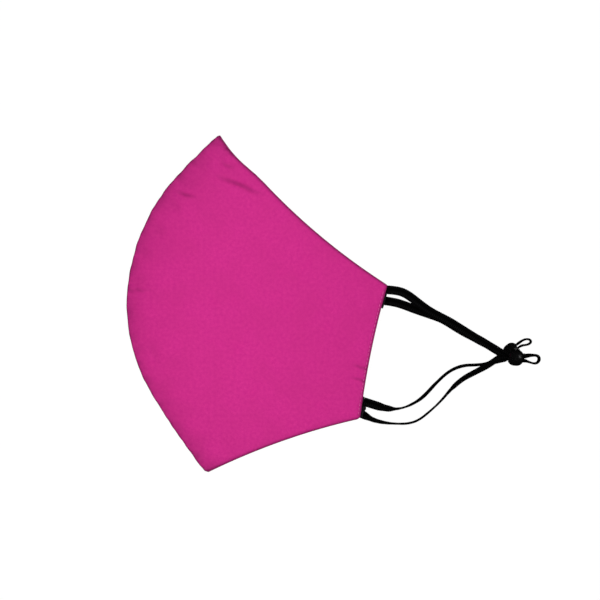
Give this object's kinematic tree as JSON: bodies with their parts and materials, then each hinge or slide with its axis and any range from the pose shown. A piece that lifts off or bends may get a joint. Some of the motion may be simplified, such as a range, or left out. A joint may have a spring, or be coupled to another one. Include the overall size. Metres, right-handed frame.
{
  "type": "reusable half mask",
  "caption": "Reusable cloth half mask folded flat along its curved centre seam, with a nose wire, a filter ply and flat elastic ear bands drawn through slotted bead toggles.",
  "frame": {"origin": "on the table, under the middle of the folded mask body", "axes": "+X from the front of the face back to the ears, +Y from chin to nose, +Z from the wearer's right half up to the left half"},
  "size_m": [0.2066, 0.168, 0.0165],
  "materials": {
    "outer_cloth": "fine dyed twill",
    "filter_nonwoven": "nonwoven filter web",
    "lining_cloth": "soft knitted lining",
    "sewing_thread": "polyester thread",
    "anchor_tape": "woven tape",
    "elastic_band": "knitted elastic",
    "nose_metal": "mill finish",
    "toggle_silicone": "satin moulded"
  },
  "bodies": {
    "right_half": {"right_outer_shell": "outer_cloth", "right_filter_ply": "filter_nonwoven", "right_lining": "lining_cloth", "right_ear_hem": "outer_cloth", "right_hem_thread": "sewing_thread", "right_upper_tab": "anchor_tape", "right_lower_tab": "anchor_tape", "right_nose_sleeve": "lining_cloth", "nose_wire": "nose_metal", "centre_seam": "outer_cloth"},
    "left_half": {"left_outer_shell": "outer_cloth", "left_filter_ply": "filter_nonwoven", "left_lining": "lining_cloth", "left_ear_hem": "outer_cloth", "left_hem_thread": "sewing_thread", "left_upper_tab": "anchor_tape", "left_lower_tab": "anchor_tape", "left_nose_sleeve": "lining_cloth"},
    "left_loop": {"left_band_upper_run": "elastic_band", "left_band_lower_run": "elastic_band", "left_band_end_loop": "elastic_band"},
    "left_toggle": {"left_toggle_bead": "toggle_silicone"},
    "right_loop": {"right_band_upper_run": "elastic_band", "right_band_lower_run": "elastic_band", "right_band_end_loop": "elastic_band"},
    "right_toggle": {"right_toggle_bead": "toggle_silicone"}
  },
  "joints": [
    {"name": "fold_opening", "type": "hinge", "parent": "right_half", "child": "left_half", "pos_m": [-0.0648, 0, 0.0047], "axis": [0, -1, 0], "range_deg": [0, 50], "deforming": ["nose_wire"]},
    {"name": "left_loop_swing", "type": "hinge", "parent": "left_half", "child": "left_loop", "pos_m": [0.05953, -0.0243, 0.0075], "axis": [-0.2015, -0.9795, 0], "range_deg": [0, 120]},
    {"name": "left_toggle_slide", "type": "slide", "parent": "left_loop", "child": "left_toggle", "axis": [-1, 0, 0], "range_m": [0, 0.025], "deforming": ["left_band_upper_run", "left_band_lower_run", "left_band_end_loop"]},
    {"name": "right_loop_swing", "type": "hinge", "parent": "right_half", "child": "right_loop", "pos_m": [0.05953, -0.0243, 0.0019], "axis": [0.2015, 0.9795, 0], "range_deg": [0, 120]},
    {"name": "right_toggle_slide", "type": "slide", "parent": "right_loop", "child": "right_toggle", "axis": [-1, 0, 0], "range_m": [0, 0.025], "deforming": ["right_band_upper_run", "right_band_lower_run", "right_band_end_loop"]}
  ]
}
